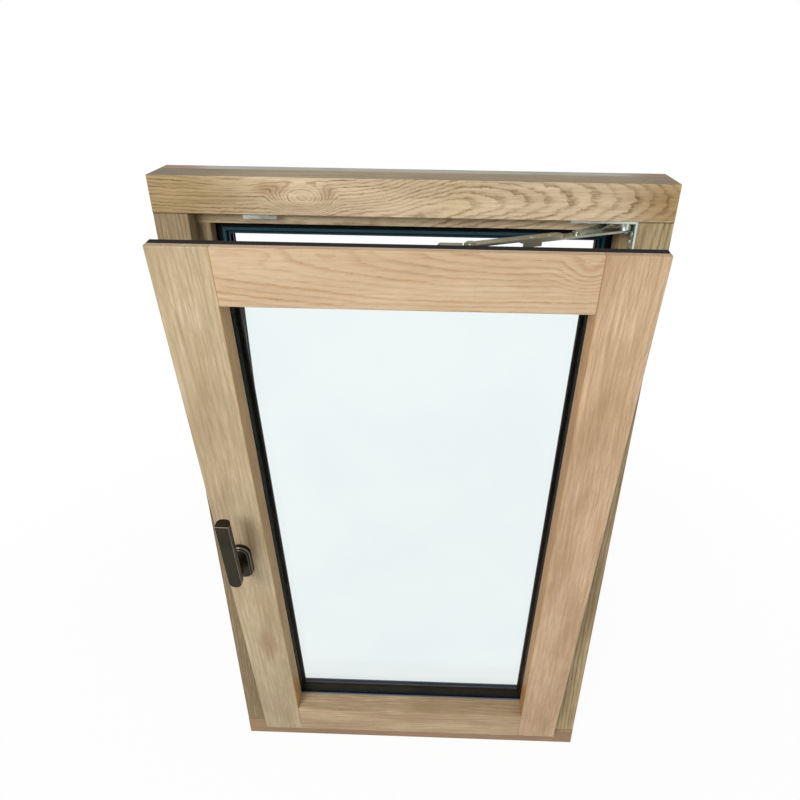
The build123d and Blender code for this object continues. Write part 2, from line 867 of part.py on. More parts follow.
# Slider block on the stay guide, and the rivet that the outer arm turns on
rivet_plane = Plane(origin=slider_place, x_dir=right, z_dir=arm_up)
slider_side = Plane(origin=sash_point(slider_x, hardware_depth, groove_top), x_dir=right, z_dir=-sash_out)
with BuildPart() as stay_slider:
    with BuildSketch(slider_side) as slider_outline:
        with BuildLine():
            Polyline(
                (-slider_left, 0),
                (slider_right, 0),
                (slider_right, slider_foot_height),
                (slider_seat_half, slider_height),
                (-slider_seat_half, slider_height),
                (-slider_seat_half, slider_nose_height),
                (slider_nose_length - slider_left, slider_nose_height),
                (-slider_left, slider_foot_height),
                close=True,
            )
        make_face()
        fillet(slider_outline.vertices().group_by(Axis.Y)[-1], slider_edge_round)
    extrude(amount=slider_width / 2, both=True)
    with BuildSketch(rivet_plane):
        Circle(bearing_pin_radius + pin_clearance)
    extrude(amount=-arm_height_at_slider, mode=Mode.SUBTRACT)
export(stay_slider.part, "stay_slider")

with BuildPart() as slider_rivet:
    with BuildSketch(rivet_plane.offset(arm_thickness)):
        Circle(pin_head_radius)
    extrude(amount=pin_head_height)
    with BuildSketch(rivet_plane.offset(arm_thickness)):
        Circle(bearing_pin_radius)
    extrude(amount=rivet_end_gap - arm_thickness - arm_height_at_slider)
export(slider_rivet.part, "slider_rivet")

# Concealed lower bearing: an angle on the frame with a ball, and an angle with a pan on the sash
pan_low = opening_bottom + body_inset - angle_thickness
ball_place = sash_point(ball_x, ball_depth, pan_low + ball_seat)
ball_foot = Vector(ball_place.X, ball_place.Y, opening_bottom)
ball_rise = ball_place.Z - opening_bottom
with BuildPart() as lower_bearing_frame:
    with BuildSketch(frame_face(foot_front)):
        with BuildLine():
            Polyline(
                (opening_x, opening_bottom),
                (opening_x - foot_length, opening_bottom),
                (opening_x - foot_length, opening_bottom + foot_thickness),
                (opening_x - foot_thickness, opening_bottom + foot_thickness),
                (opening_x - foot_thickness, opening_bottom + foot_rise),
                (opening_x, opening_bottom + foot_rise),
                close=True,
            )
        make_face()
    extrude(amount=-foot_width)
    with BuildSketch(Plane(origin=ball_foot, x_dir=right, z_dir=-out)):
        with BuildLine():
            Polyline(
                (0, 0),
                (ball_neck_radius, 0),
                (ball_neck_radius, ball_rise - ball_height / 2),
                (ball_radius, ball_rise - ball_height / 2 + ball_bevel),
                (ball_radius, ball_rise + ball_height / 2 - ball_bevel),
                (ball_neck_radius, ball_rise + ball_height / 2),
                (0, ball_rise + ball_height / 2),
                close=True,
            )
        make_face()
    revolve(axis=Axis(ball_foot, up))
export(lower_bearing_frame.part, "lower_bearing_frame")

with BuildPart() as lower_bearing_sash:
    body_edge = opening_x - body_inset
    with BuildSketch(sash_plan(pan_low)):
        add(rectangle_between(body_edge, ball_depth - pan_depth_size / 2, body_edge + pan_width,
                              ball_depth + pan_depth_size / 2))
    extrude(amount=pan_rise)
    with BuildSketch(sash_plan(pan_low)):
        with Locations((ball_x, ball_depth)):
            Circle(ball_radius + pan_clearance)
    extrude(amount=ball_seat + ball_radius + pan_clearance, mode=Mode.SUBTRACT)
    with BuildSketch(sash_face(ball_depth - pan_depth_size / 2)):
        add(rectangle_between(body_edge - angle_length, pan_low, body_edge, pan_low + angle_thickness))
    extrude(amount=-pan_depth_size)
export(lower_bearing_sash.part, "lower_bearing_sash")

# Gearbox in the left stile
with BuildPart() as gearbox:
    with BuildSketch(sash_plan(handle_height)):
        with Locations((groove_left + faceplate_thickness + gearbox_width / 2, hardware_depth)):
            Rectangle(gearbox_width, gearbox_thickness)
    extrude(amount=gearbox_height / 2, both=True)
    with BuildSketch(sash_face(0)):
        with Locations((handle_x, handle_height)):
            Circle(hypot(spindle_width, spindle_width) / 2 + journal_clearance)
    extrude(amount=-frame_depth, mode=Mode.SUBTRACT)
export(gearbox.part, "gearbox")

# Handle: a rosette on the stile, and the lever with its spindle, turned up
with BuildPart() as handle_rosette:
    with BuildSketch(sash_face(lip_front)):
        with Locations((handle_x, handle_height)):
            SlotOverall(rosette_length, rosette_width, rotation=90)
    extrude(amount=rosette_thickness - rosette_step)
    rosette_front = handle_rosette.faces().sort_by(Axis(sash_point(0, 0, 0), sash_out))[0]
    chamfer(rosette_front.edges(), rosette_bevel)
    with BuildSketch(sash_face(lip_front)):
        with Locations((handle_x, handle_height)):
            SlotOverall(rosette_length - 2 * rosette_rim, rosette_width - 2 * rosette_rim, rotation=90)
    extrude(amount=rosette_thickness)
    rosette_front = handle_rosette.faces().sort_by(Axis(sash_point(0, 0, 0), sash_out))[0]
    chamfer(rosette_front.edges(), rosette_step_bevel)
    with BuildSketch(sash_face(lip_front - rosette_thickness)):
        with Locations((handle_x, handle_height)):
            Circle(rosette_boss_radius)
    extrude(amount=rosette_boss_height)
    with BuildSketch(sash_face(lip_front)):
        with Locations((handle_x, handle_height)):
            Circle(spindle_bore_radius)
    extrude(amount=rosette_thickness + rosette_boss_height, mode=Mode.SUBTRACT)
export(handle_rosette.part, "handle_rosette")

neck_start = lip_front - rosette_thickness - rosette_boss_height - neck_gap
journal_end = lip_front - rosette_thickness / 2
grip_back = lip_front - grip_standoff
grip_low = handle_height - grip_below_axis
with BuildPart() as handle_lever:
    with BuildSketch(sash_plan(grip_low)) as grip_section:
        with Locations((handle_x, grip_back - grip_depth / 2)):
            Rectangle(grip_width, grip_depth)
        fillet(grip_section.vertices().group_by(Axis.Y)[-1], grip_back_round)
    extrude(amount=grip_length)
    with BuildSketch(sash_face(grip_back)):
        with Locations((handle_x, grip_low + grip_length / 2 + grip_width / 4)):
            Rectangle(grip_width, grip_length - grip_width / 2)
        with Locations((handle_x, grip_low + grip_width / 2)):
            Circle(grip_width / 2)
    extrude(amount=grip_depth, mode=Mode.INTERSECT)
    grip_front = handle_lever.faces().sort_by(Axis(sash_point(0, 0, 0), sash_out))[0]
    fillet(grip_front.edges(), grip_edge_round)
    with BuildSketch(sash_face(grip_back - grip_depth / 2)):
        with Locations((handle_x, handle_height)):
            Circle(neck_top_radius)
    with BuildSketch(sash_face(neck_start)):
        with Locations((handle_x, handle_height)):
            Circle(neck_base_radius)
    loft()
    with BuildSketch(sash_face(journal_end)):
        with Locations((handle_x, handle_height)):
            Circle(spindle_bore_radius - journal_clearance)
    extrude(amount=journal_end - neck_start)
export(handle_lever.part, "handle_lever")

with BuildPart() as handle_spindle:
    with BuildSketch(sash_face(journal_end)):
        with Locations((handle_x, handle_height)):
            Rectangle(spindle_width, spindle_width)
    extrude(amount=journal_end - hardware_depth)
export(handle_spindle.part, "handle_spindle")
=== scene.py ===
from math import atan2, cos, pi, radians, sin

import bmesh
import bpy
from mathutils import Matrix, Vector


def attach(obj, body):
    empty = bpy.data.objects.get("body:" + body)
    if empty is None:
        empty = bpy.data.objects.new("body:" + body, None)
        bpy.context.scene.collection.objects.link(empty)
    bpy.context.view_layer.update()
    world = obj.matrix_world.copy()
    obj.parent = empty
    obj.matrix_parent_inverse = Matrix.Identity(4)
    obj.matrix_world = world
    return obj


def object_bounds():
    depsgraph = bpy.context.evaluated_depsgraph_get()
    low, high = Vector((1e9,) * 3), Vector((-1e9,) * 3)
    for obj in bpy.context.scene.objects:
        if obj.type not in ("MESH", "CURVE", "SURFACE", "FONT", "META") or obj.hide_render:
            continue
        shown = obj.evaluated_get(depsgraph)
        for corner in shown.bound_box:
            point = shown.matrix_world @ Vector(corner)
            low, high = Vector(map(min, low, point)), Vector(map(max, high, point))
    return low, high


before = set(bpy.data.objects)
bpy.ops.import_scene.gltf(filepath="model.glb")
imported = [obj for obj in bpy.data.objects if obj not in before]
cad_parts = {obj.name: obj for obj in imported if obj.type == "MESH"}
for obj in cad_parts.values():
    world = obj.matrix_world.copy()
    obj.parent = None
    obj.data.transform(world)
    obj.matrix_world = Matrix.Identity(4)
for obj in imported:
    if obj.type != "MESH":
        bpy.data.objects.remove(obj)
box_at_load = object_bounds()

# %% [markdown]
# # A tilt and turn window, tilted open
# The window is oak on the room side and black aluminium on the weather side. Its sash leans in at the
# top, held by a scissor stay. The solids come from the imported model, which the lines above load as a
# fixed frame, and this lesson gives them their finishes and adds the small fittings.

# %% What the frame holds
print("nodes:", len(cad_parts))

# %% [markdown]
# ## Where things are on the sash
# Everything on the sash leans with it. The sash was drawn shut and then turned about a line near its
# foot, so the same turn is written here once. A place on the sash is then given the easy way: how far
# to the right, how deep from the room face of the frame, and how high when the sash is shut.

# %% Places on the frame and on the sash
MM = 0.001
FRONT_Y = -32.5 * MM
TILT = radians(6.88)
RIGHT = Vector((1, 0, 0))
OUT = Vector((0, 1, 0))
UP = Vector((0, 0, 1))
SASH_UP = Vector((0, -sin(TILT), cos(TILT)))
SASH_OUT = Vector((0, cos(TILT), sin(TILT)))
TILT_AXIS_DEPTH = -6.0
TILT_AXIS_HEIGHT = 31.5


def frame_place(x, depth, height):
    """Place on the frame, from millimetres."""
    return Vector((x * MM, FRONT_Y + depth * MM, height * MM))


def sash_place(x, depth, height):
    """Place on the tilted sash, from where it would be with the sash shut."""
    axis = Vector((0, FRONT_Y + TILT_AXIS_DEPTH * MM, TILT_AXIS_HEIGHT * MM))
    turned = SASH_OUT * (depth - TILT_AXIS_DEPTH) + SASH_UP * (height - TILT_AXIS_HEIGHT)
    return axis + RIGHT * x * MM + turned * MM


print("sash top front:", [round(v, 3) for v in sash_place(0, -12.6, 962)])

# %% [markdown]
# ## Helpers for finishes
# Every finish is a graph of nodes that ends in one shader. Adding nodes and links by hand makes long
# code, so a small helper keeps the graph of one material and gives back sockets that the next line can
# use. What is the same all over a surface is set on the shader's own socket.

# %% Colours and the graph helper
def paint(code, alpha=1.0):
    """Linear colour from a six-figure screen colour."""
    channels = [int(code[i:i + 2], 16) / 255 for i in (0, 2, 4)]
    linear = [c / 12.92 if c <= 0.04045 else ((c + 0.055) / 1.055) ** 2.4 for c in channels]
    return (*linear, alpha)


CURVE_TOP = 100.0


class Finish:
    """One material and the graph of nodes that makes it."""

    def __init__(self, name):
        self.material = bpy.data.materials.new(name)
        self.material.use_nodes = True
        self.tree = self.material.node_tree
        self.shader = self.tree.nodes["Principled BSDF"]

    def node(self, kind, **settings):
        made = self.tree.nodes.new(kind)
        for key, value in settings.items():
            setattr(made, key, value)
        return made

    def feed(self, socket, value):
        """Link a socket's output, or set a plain value."""
        if isinstance(value, bpy.types.NodeSocket):
            self.tree.links.new(value, socket)
        else:
            socket.default_value = value

    def set(self, **values):
        """Plain values on the shader's own sockets."""
        for key, value in values.items():
            self.shader.inputs[key.replace("_", " ")].default_value = value

    def math(self, operation, *values):
        made = self.node("ShaderNodeMath", operation=operation)
        for socket, value in zip(made.inputs, values):
            self.feed(socket, value)
        return made.outputs[0]

    def vector(self, operation, *values):
        made = self.node("ShaderNodeVectorMath", operation=operation)
        for socket, value in zip(made.inputs, values):
            self.feed(socket, value)
        return made.outputs["Value" if operation == "LENGTH" else "Vector"]

    def parts(self, vector):
        """The three numbers of a vector."""
        made = self.node("ShaderNodeSeparateXYZ")
        self.feed(made.inputs[0], vector)
        return made.outputs

    def place(self):
        """Where the point lies on the object, in metres."""
        return self.node("ShaderNodeTexCoord").outputs["Object"]

    def upward(self):
        """How far the surface faces up, from -1 to 1."""
        return self.parts(self.node("ShaderNodeNewGeometry").outputs["Normal"])[2]

    def from_spot(self, point, x, y, long_half, wide_half):
        """Distance from a spot on a board, counted in the spot's own half sizes."""
        away = self.vector("SUBTRACT", point, (x * MM, y * MM, 0.0))
        away = self.vector("MULTIPLY", away, (1000 / long_half, 1000 / wide_half, 0.0))
        return self.vector("LENGTH", away)

    def turned(self, vector, origin, turn):
        """The same point measured from an origin along turned axes."""
        made = self.node("ShaderNodeMapping", vector_type="TEXTURE")
        self.feed(made.inputs["Vector"], vector)
        made.inputs["Location"].default_value = origin
        made.inputs["Rotation"].default_value = turn.to_euler("XYZ")
        return made.outputs[0]

    def noise(self, vector, stretch, detail=3.0, rough=0.55):
        """Noise from 0 to 1, with so many features in a metre along each axis."""
        scaled = self.vector("MULTIPLY", vector, stretch)
        made = self.node("ShaderNodeTexNoise")
        self.feed(made.inputs["Vector"], scaled)
        made.inputs["Scale"].default_value = 1.0
        made.inputs["Detail"].default_value = detail
        made.inputs["Roughness"].default_value = rough
        return made.outputs[0]

    def span(self, value, low, high, to_low=0.0, to_high=1.0):
        """Smooth step of a value from one range to another."""
        made = self.node("ShaderNodeMapRange", interpolation_type="SMOOTHSTEP")
        for socket, number in zip(made.inputs, (value, low, high, to_low, to_high)):
            self.feed(socket, number)
        return made.outputs[0]

    def curve(self, value, half, points):
        """Smooth line through (place, height) points in millimetres, for values from -half to half."""
        where = self.node("ShaderNodeMapRange")
        for socket, number in zip(where.inputs, (value, -half * MM, half * MM, 0.0, 1.0)):
            self.feed(socket, number)
        made = self.node("ShaderNodeFloatCurve")
        made.mapping.use_clip = False
        line = made.mapping.curves[0].points
        while len(line) < len(points):
            line.new(0.5, 0.5)
        for dot, (place, height) in zip(line, points):
            dot.location = (0.5 + place / half / 2, height / CURVE_TOP)
        made.mapping.update()
        self.feed(made.inputs["Value"], where.outputs[0])
        return self.math("MULTIPLY", made.outputs[0], CURVE_TOP * MM)

    def ramp(self, value, *stops):
        """Colour from a ramp of (place, colour) stops."""
        made = self.node("ShaderNodeValToRGB")
        elements = made.color_ramp.elements
        while len(elements) < len(stops):
            elements.new(1.0)
        for element, (place, colour) in zip(elements, stops):
            element.position = place
            element.color = colour
        self.feed(made.inputs[0], value)
        return made.outputs[0]

    def mix(self, factor, first, second, blend="MIX"):
        made = self.node("ShaderNodeMix", data_type="RGBA", blend_type=blend)
        self.feed(made.inputs[0], factor)
        self.feed(made.inputs[6], first)
        self.feed(made.inputs[7], second)
        return made.outputs[2]

    def bump(self, height, distance, strength=1.0):
        made = self.node("ShaderNodeBump")
        made.inputs["Strength"].default_value = strength
        made.inputs["Distance"].default_value = distance
        self.feed(made.inputs["Height"], height)
        self.feed(self.shader.inputs["Normal"], made.outputs[0])


def wear_finish(material, *names):
    """Give a material to every slot of these nodes."""
    for name in names:
        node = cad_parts[name]
        if not node.material_slots:
            node.data.materials.append(material)
        for slot in node.material_slots:
            slot.material = material


print("helpers ready")

# %% [markdown]
# ## Oak
# On the real window each member is sawn from its own board, so the growth rings run along its length and
# every board cuts the tree in another place. A flat picture of grain would not turn the corner at an
# edge, so the rings are worked out in space: a board is a piece of a tree, and the rings are tubes about
# its pith. The pith is a line that wanders behind the board. Where it sinks away from the face the tubes
# show as nested arches, where it lies far to one side they show as level lines, and a local swelling of
# the tubes shows as an eye. Pores and fibres are noise drawn out along the board.

# %% How a board lies in the tree
class Board:
    """Where one member was sawn, how the pith wanders behind it, and the colour of its wood.

    The pith is a list of places along the board, each with its distance across and behind the face.
    The ring is the width of one year. Waver and ripple bend the rings slowly and finely.
    A swelling is a place along and across, a half length, a half width and a lift of the rings.
    A tint spot is a place and two half sizes too, with a colour and a strength; some are painted shade.
    Seams are joint lines across the board, and sides are edges with a colour laid over them: painted shade
    on the reveals of the sash stiles, a greyer tone on the head's top and the sill's underside.
    Line, broken and figure say how strong the rings are, how broken, and how strong the streaks are.
    """

    def __init__(self, origin, along, face, pith, ring, pale, dark, waver=5.0, ripple=1.0, swellings=(),
                 line=1.0, broken=0.6, seams=(), stains=(), sides=(), figure=1.0):
        self.origin = origin
        through = -face.normalized()
        across = through.cross(along.normalized())
        self.turn = Matrix((along.normalized(), across, through)).transposed()
        self.pith, self.ring, self.waver, self.ripple = pith, ring, waver, ripple
        self.swellings, self.seams, self.stains, self.sides = swellings, seams, stains, sides
        self.pale, self.dark, self.line, self.broken = paint(pale), paint(dark), line, broken
        self.figure = figure


print("a board is described by its pith, its rings and its colours")

# %% The rings of one board
BOARD_HALF = 520.0


def ring_field(wood, board, point, along, across, depth):
    """Distance from the pith, counted in rings."""
    pith_across = wood.curve(along, BOARD_HALF, [(x, y) for x, y, _ in board.pith])
    pith_depth = wood.curve(along, BOARD_HALF, [(x, z) for x, _, z in board.pith])
    dy = wood.math("SUBTRACT", across, pith_across)
    dz = wood.math("ADD", depth, pith_depth)
    square = wood.math("MULTIPLY_ADD", dy, dy, wood.math("MULTIPLY", dz, dz))
    radius = wood.math("SQRT", square)
    slow = wood.noise(point, (9.0, 30.0, 30.0), detail=1.0, rough=0.5)
    fine = wood.noise(point, (75.0, 170.0, 170.0), detail=3.0, rough=0.65)
    radius = wood.math("MULTIPLY_ADD", slow, board.waver * MM, radius)
    radius = wood.math("MULTIPLY_ADD", fine, 2.4 * board.ripple * MM, radius)
    for x, y, long_half, wide_half, lift in board.swellings:
        hill = wood.span(wood.from_spot(point, x, y, long_half, wide_half), 0.0, 1.0, lift * MM, 0.0)
        radius = wood.math("ADD", radius, hill)
    return wood.math("DIVIDE", radius, board.ring * MM)


print("a pith can be drawn over", 2 * BOARD_HALF, "millimetres")

# %% The oak finish
SIDE_BLEND = 0.04


def oak(name, board):
    """Oak for one board: rings, pores, fibres, tints, painted shade, joint lines and a satin lacquer."""
    wood = Finish(name)
    point = wood.turned(wood.place(), board.origin, board.turn)
    along, across, depth = wood.parts(point)

    # Each year starts with a row of wide pores, which shows as a darker, broken line with one soft side
    years = ring_field(wood, board, point, along, across, depth)
    season = wood.math("FRACT", years)
    line = wood.math("MULTIPLY", wood.span(season, 0.0, 0.12), wood.span(season, 0.16, 0.62, 1.0, 0.0))
    year = wood.node("ShaderNodeTexWhiteNoise", noise_dimensions="1D")
    wood.feed(year.inputs["W"], wood.math("FLOOR", years))
    line = wood.math("MULTIPLY", line, wood.span(year.outputs["Value"], 0.0, 1.0, 0.45, 1.0))
    dash = wood.noise(point, (45.0, 420.0, 420.0), detail=4.0, rough=0.7)
    line = wood.math("MULTIPLY", line, wood.span(dash, 0.36, 0.6, 1.0 - board.broken, 1.0))
    patch = wood.noise(point, (7.0, 38.0, 38.0), detail=2.0)
    line = wood.math("MULTIPLY", line, wood.span(patch, 0.32, 0.62, 0.4 * board.line, board.line))

    # Pores are short dark dashes, fibres are longer faint streaks, and clouds are broad and weak
    pores = wood.span(wood.noise(point, (80.0, 1300.0, 1300.0), detail=3.0, rough=0.7), 0.55, 0.72)
    streaks = wood.noise(point, (10.0, 260.0, 260.0), detail=5.0, rough=0.62)
    cloud = wood.noise(point, (6.0, 20.0, 20.0), detail=3.0)
    colour = wood.mix(line, board.pale, board.dark)
    colour = wood.mix(wood.span(streaks, 0.35, 0.72, 0.0, 0.32 * board.figure), colour, board.dark)
    flecks = wood.noise(point, (22.0, 420.0, 420.0), detail=3.0, rough=0.6)
    colour = wood.mix(wood.span(flecks, 0.52, 0.74, 0.0, 0.3 * board.figure), colour, paint("E6D2B4"))
    colour = wood.mix(wood.span(cloud, 0.3, 0.7, 0.0, 0.3 * board.figure), colour, board.dark)
    colour = wood.mix(wood.math("MULTIPLY", pores, 0.34), colour, paint("866540"))
    # Tint spots: soft spots of colour laid over the wood; on the head the two at its ends are painted shade
    for x, y, long_half, wide_half, code, strength in board.stains:
        share = wood.span(wood.from_spot(point, x, y, long_half, wide_half), 0.2, 1.0, strength, 0.0)
        colour = wood.mix(share, colour, paint(code), "MULTIPLY")
    # Sides: a colour laid over one edge of a board; on the reveals of the sash stiles it is painted shade
    for edge, code in board.sides:
        toward = wood.math("MULTIPLY", across, 1.0 if edge > 0 else -1.0)
        share = wood.span(toward, (abs(edge) - SIDE_BLEND) * MM, abs(edge) * MM)
        colour = wood.mix(share, colour, paint(code), "MULTIPLY")
    for x in board.seams:
        near = wood.math("ABSOLUTE", wood.math("SUBTRACT", along, x * MM))
        seam = wood.span(near, 0.2 * MM, 0.9 * MM, 0.62, 0.0)
        colour = wood.mix(seam, colour, paint("4A3826"))
    wood.feed(wood.shader.inputs["Base Color"], colour)

    shine = wood.math("MULTIPLY_ADD", pores, 0.2, 0.46)
    wood.feed(wood.shader.inputs["Roughness"], wood.math("MULTIPLY_ADD", line, -0.06, shine))
    wood.set(Specular_IOR_Level=0.2)
    height = wood.math("MULTIPLY_ADD", pores, -1.0, wood.math("MULTIPLY", line, -0.3))
    wood.bump(height, 0.00012, 0.6)
    return wood.material


print("oak finish ready")

# %% [markdown]
# ## The eight boards
# Each board's numbers were chosen to follow the real member: an oval eye left of the middle of the
# head with arches to its right, level lines and flames on the sash's top rail, and quieter, straighter
# grain in the uprights. The two colours of a board were then evened out against the photograph, until its
# mean colour agreed. Across a level board is downwards, and across an upright is to the right.

# %% Boards of the outer frame
# A greyer tone on the top of the head and the underside of the sill.
GREY_EDGE_TONE = "BDB7A0"
# Painted shade for the inner reveals of the sash stiles, which lie in shade.
SHADED_WOOD = "FFE6B8"
ROOM = -OUT
boards = {
    "frame_head": Board(
        frame_place(0, 0, 979), RIGHT, ROOM,
        [(-320, 44, 12), (-180, 46, 13), (-70, 42, 14), (20, 18, 16), (90, 2, 22), (320, -3, 62)],
        3.9, "DFCBAA", "7A5C34", waver=5, ripple=1.8, line=1.0, broken=0.65,
        swellings=((-125, 4, 48, 23, 34), (-205, -14, 60, 14, 6), (-60, 14, 60, 16, -5)),
        # The first two tint spots darken the two ends of the head as painted shade.
        stains=((-285, 0, 150, 70, "BDB294", 0.9), (300, 0, 75, 60, "C8B898", 0.85),
                (-125, -5, 15, 6, "F4E9D0", 0.2), (-160, -8, 30, 12, "A98452", 0.5),
                (-95, -6, 14, 12, "B5925F", 0.4), (55, 0, 50, 30, "F6EDDA", 0.4)),
        sides=((-20.9, GREY_EDGE_TONE),)),
    "frame_sill": Board(
        frame_place(0, 0, 19), RIGHT, ROOM, [(-320, 60, 20), (0, 50, 26), (320, 66, 22)],
        3.6, "A08466", "7E6446", sides=((18.9, GREY_EDGE_TONE),)),
    # The left jamb's two colours are darkened as painted shade, for the shade it lies in beside the sash.
    "frame_jamb_left": Board(
        frame_place(-280, 0, 500), UP, ROOM, [(-500, 46, 20), (0, 52, 30), (500, 40, 22)],
        4.2, "907F60", "715C3F", seams=(-461.4, 457.4)),
    "frame_jamb_right": Board(
        frame_place(280, 0, 500), UP, ROOM, [(-500, -40, 18), (0, -36, 30), (500, -14, 16)],
        5.6, "D0BB91", "7C643E", figure=1.8, line=1.2, seams=(-461.4, 457.4),
        # A grey tint spot darkens the top of the right jamb.
        stains=((470, 0, 260, 80, "E7E7E7", 1.0),)),
}

print("frame boards:", len(boards))

# %% Boards of the sash
SASH_ROOM = -SASH_OUT
boards.update({
    "sash_top_rail": Board(
        sash_place(0, -12.6, 929), RIGHT, SASH_ROOM,
        [(-230, -40, 62), (-60, -38, 44), (80, -44, 26), (230, -50, 16)],
        5.6, "C8B192", "A8825D", waver=6, ripple=1.2, line=0.95,
        swellings=((184, -10, 40, 30, -13), (-150, -26, 40, 14, 6), (-70, -28, 46, 14, 5)),
        seams=(-198, 198)),
    "sash_bottom_rail": Board(
        sash_place(0, -12.6, 67), RIGHT, SASH_ROOM, [(-230, -70, 30), (0, -60, 36), (230, -76, 30)],
        5.0, "C6AE8C", "8A6C4A", waver=9, ripple=1.4, line=0.7, figure=1.7, seams=(-198, 198)),
    "sash_stile_left": Board(
        sash_place(-231, -12.6, 500), SASH_UP, SASH_ROOM,
        [(-500, 74, 40), (-150, 66, 44), (150, 82, 40), (500, 70, 36)],
        5.6, "BFAD8E", "8B734F", waver=10, ripple=1.5, line=0.42, broken=0.85, figure=1.5,
        # painted shade on the stile's inner reveal
        sides=((32.4, SHADED_WOOD),), swellings=((-40, -4, 90, 22, 8), (230, 10, 120, 18, 7)),
        stains=((40, 14, 60, 14, "B78F62", 0.45), (-210, 4, 60, 20, "C79F74", 0.35))),
    "sash_stile_right": Board(
        sash_place(231, -12.6, 500), SASH_UP, SASH_ROOM,
        [(-500, -96, 30), (100, -92, 34), (320, -104, 30), (480, -54, 26)],
        4.4, "CEB191", "977552", waver=11, ripple=1.4, line=0.45, broken=0.8, figure=1.7,
        # painted shade on the stile's inner reveal
        sides=((-32.4, SHADED_WOOD),),
        swellings=((300, 20, 70, 18, 8), (60, -10, 90, 16, 6), (-270, 12, 90, 18, 6))),
})
for name, board in boards.items():
    wear_finish(oak(f"oak_{name}", board), name)
print("oak members:", len(boards))

# %% [markdown]
# ## Black aluminium
# The weather side is extruded aluminium with a fine black powder coat. A powder coat is never a perfect
# black mirror: it has a low orange peel, so the roughness comes from a broad noise and the bump from a fine
# one. The top edge of the window is coloured a pale grey, browner near the two ends. Faces that look up
# take a painted sky reflection in dark blue. The lip round the opening carries fine pressed ribs, whose
# highlights and the shade between them are painted on as lines. They keep their distance from its edge all
# the way round, so one ramp of colours over that distance draws them all.

# %% Painted highlight lines on the frame's lip
LIP_HALF_WIDTH = 227.0 * MM
LIP_HALF_HEIGHT = 427.5 * MM
LIP_MIDDLE = 498.0 * MM
LIP_FRONT = 11.5 * MM
LIP_BLEND = 0.3 * MM
LIP_REACH = 10.0 * MM
LIP_HIGHLIGHT_STRIPES = ((0.0, "38444D"), (0.08, "38444D"), (0.13, "04202C"), (0.38, "04202C"), (0.43, "264148"),
               (0.72, "264148"), (0.8, "070A0E"), (1.0, "070A0E"))


def lip_highlight_lines(finish, colour, point):
    """Painted rib highlights and shade round the frame's lip, over a colour on faces toward the room."""
    across, depth, height = finish.parts(point)
    beside = finish.math("SUBTRACT", finish.math("ABSOLUTE", across), LIP_HALF_WIDTH)
    from_middle = finish.math("ABSOLUTE", finish.math("SUBTRACT", height, LIP_MIDDLE))
    above = finish.math("SUBTRACT", from_middle, LIP_HALF_HEIGHT)
    from_edge = finish.math("MAXIMUM", beside, above)
    # Painted highlights on the rib crests and painted shade in the grooves between them
    stops = [(at, paint(code)) for at, code in LIP_HIGHLIGHT_STRIPES]
    lines = finish.ramp(finish.math("DIVIDE", from_edge, LIP_REACH), *stops)
    on_front = finish.span(depth, LIP_FRONT, LIP_FRONT + LIP_BLEND, 1.0, 0.0)
    return finish.mix(on_front, colour, lines)


print("stops in the lip's lines:", len(LIP_HIGHLIGHT_STRIPES))

# %% Powder coat
WINDOW_TOP = box_at_load[1][2]
FILM_BLEND = (WINDOW_TOP - 0.6 * MM, WINDOW_TOP - 0.2 * MM)
BROWN_ENDS = (235 * MM, 275 * MM)


def powder_coat(name, striped=False):
    """Black powder coat, pale on top, painted sky reflection upward, painted lip highlights if striped."""
    coat = Finish(name)
    point = coat.place()
    peel = coat.noise(point, (900.0, 900.0, 900.0), detail=2.0)
    mottle = coat.noise(point, (18.0, 18.0, 18.0), detail=4.0)
    colour = coat.mix(coat.span(mottle, 0.35, 0.75), paint("05080D"), paint("0C1119"))
    across, _, height = coat.parts(point)
    # Painted sky reflection: faces that look up are tinted dark blue.
    colour = coat.mix(coat.span(coat.upward(), 0.25, 0.9, 0.0, 0.85), colour, paint("22405A"))
    if striped:
        colour = lip_highlight_lines(coat, colour, point)
    # The top of the window is coloured pale grey, browner near the two ends.
    on_top = coat.span(height, *FILM_BLEND)
    at_end = coat.span(coat.math("ABSOLUTE", across), *BROWN_ENDS)
    film = coat.mix(at_end, coat.mix(mottle, paint("B4AF9F"), paint("A29C8C")), paint("8D6848"))
    colour = coat.mix(coat.math("MULTIPLY", on_top, 0.94), colour, film)
    coat.feed(coat.shader.inputs["Base Color"], colour)
    coat.feed(coat.shader.inputs["Roughness"], coat.span(mottle, 0.3, 0.8, 0.34, 0.5))
    coat.set(Specular_IOR_Level=0.12)
    coat.bump(peel, 0.00005, 0.35)
    return coat.material


sash_clad = [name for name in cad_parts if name.startswith("sash_cladding")]
frame_clad = [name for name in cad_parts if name.startswith("frame_cladding")]
wear_finish(powder_coat("black_powder_coat"), *sash_clad)
wear_finish(powder_coat("striped_powder_coat", striped=True), *frame_clad)
print("clad nodes:", len(sash_clad), len(frame_clad))

# %% [markdown]
# ## Rubber seals
# The seals are black extruded rubber with a dull surface. One flat black would look like a gap between
# the parts, so two near blacks are mixed in soft patches, and a fine grain breaks up the sheen. Faces that
# look up to the light get a painted sheen, a painted highlight that is paler on the seals of the glass.

